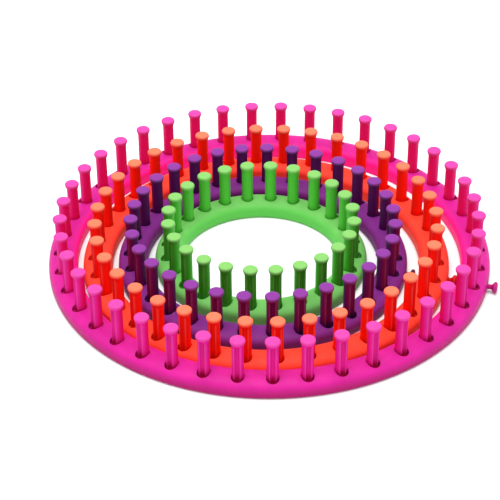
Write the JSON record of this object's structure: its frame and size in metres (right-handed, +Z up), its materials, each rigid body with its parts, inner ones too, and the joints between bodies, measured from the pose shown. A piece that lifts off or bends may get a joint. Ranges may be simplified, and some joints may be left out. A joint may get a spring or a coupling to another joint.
{
  "type": "round knitting loom set",
  "caption": "Nesting set of round knitting looms: moulded rings with upright grooved pegs and a short anchor peg in each outer wall, for knitting hats and tubes.",
  "frame": {"origin": "middle of the set's box, on the table that the rings stand on", "axes": "+Z up along the pegs, +X towards the side where the anchor pegs are, +Y away from the front"},
  "size_m": [0.2912, 0.2892, 0.038],
  "materials": {
    "magenta_plastic": "semi-gloss moulded plastic with a fine grain",
    "orange_plastic": "semi-gloss moulded plastic with a fine grain",
    "purple_plastic": "semi-gloss moulded plastic with a fine grain",
    "green_plastic": "semi-gloss moulded plastic with a fine grain"
  },
  "bodies": {
    "magenta_loom": {"magenta_anchor_peg": "magenta_plastic", "magenta_pegs_01_03": "magenta_plastic", "magenta_pegs_04_06": "magenta_plastic", "magenta_pegs_07_09": "magenta_plastic", "magenta_pegs_10_12": "magenta_plastic", "magenta_pegs_13_15": "magenta_plastic", "magenta_pegs_16_18": "magenta_plastic", "magenta_pegs_19_21": "magenta_plastic", "magenta_pegs_22_24": "magenta_plastic", "magenta_pegs_25_27": "magenta_plastic", "magenta_pegs_28_30": "magenta_plastic", "magenta_pegs_31_33": "magenta_plastic", "magenta_pegs_34_36": "magenta_plastic", "magenta_pegs_37_39": "magenta_plastic", "magenta_pegs_40_41": "magenta_plastic", "magenta_ring_frame": "magenta_plastic"},
    "orange_loom": {"orange_anchor_peg": "orange_plastic", "orange_pegs_01_03": "orange_plastic", "orange_pegs_04_06": "orange_plastic", "orange_pegs_07_09": "orange_plastic", "orange_pegs_10_12": "orange_plastic", "orange_pegs_13_15": "orange_plastic", "orange_pegs_16_18": "orange_plastic", "orange_pegs_19_21": "orange_plastic", "orange_pegs_22_24": "orange_plastic", "orange_pegs_25_27": "orange_plastic", "orange_pegs_28_30": "orange_plastic", "orange_pegs_31_33": "orange_plastic", "orange_pegs_34_36": "orange_plastic", "orange_ring_frame": "orange_plastic"},
    "purple_loom": {"purple_anchor_peg": "purple_plastic", "purple_peg_31": "purple_plastic", "purple_pegs_01_03": "purple_plastic", "purple_pegs_04_06": "purple_plastic", "purple_pegs_07_09": "purple_plastic", "purple_pegs_10_12": "purple_plastic", "purple_pegs_13_15": "purple_plastic", "purple_pegs_16_18": "purple_plastic", "purple_pegs_19_21": "purple_plastic", "purple_pegs_22_24": "purple_plastic", "purple_pegs_25_27": "purple_plastic", "purple_pegs_28_30": "purple_plastic", "purple_ring_frame": "purple_plastic"},
    "green_loom": {"green_anchor_peg": "green_plastic", "green_pegs_01_03": "green_plastic", "green_pegs_04_06": "green_plastic", "green_pegs_07_09": "green_plastic", "green_pegs_10_12": "green_plastic", "green_pegs_13_15": "green_plastic", "green_pegs_16_18": "green_plastic", "green_pegs_19_21": "green_plastic", "green_pegs_22_24": "green_plastic", "green_ring_frame": "green_plastic"}
  },
  "joints": [
    {"name": "orange_lift", "type": "slide", "parent": "magenta_loom", "child": "orange_loom", "axis": [0, 0, 1], "range_m": [0, 0.05]},
    {"name": "purple_lift", "type": "slide", "parent": "magenta_loom", "child": "purple_loom", "axis": [0, 0, 1], "range_m": [0, 0.05]},
    {"name": "green_lift", "type": "slide", "parent": "magenta_loom", "child": "green_loom", "axis": [0, 0, 1], "range_m": [0, 0.05]}
  ]
}
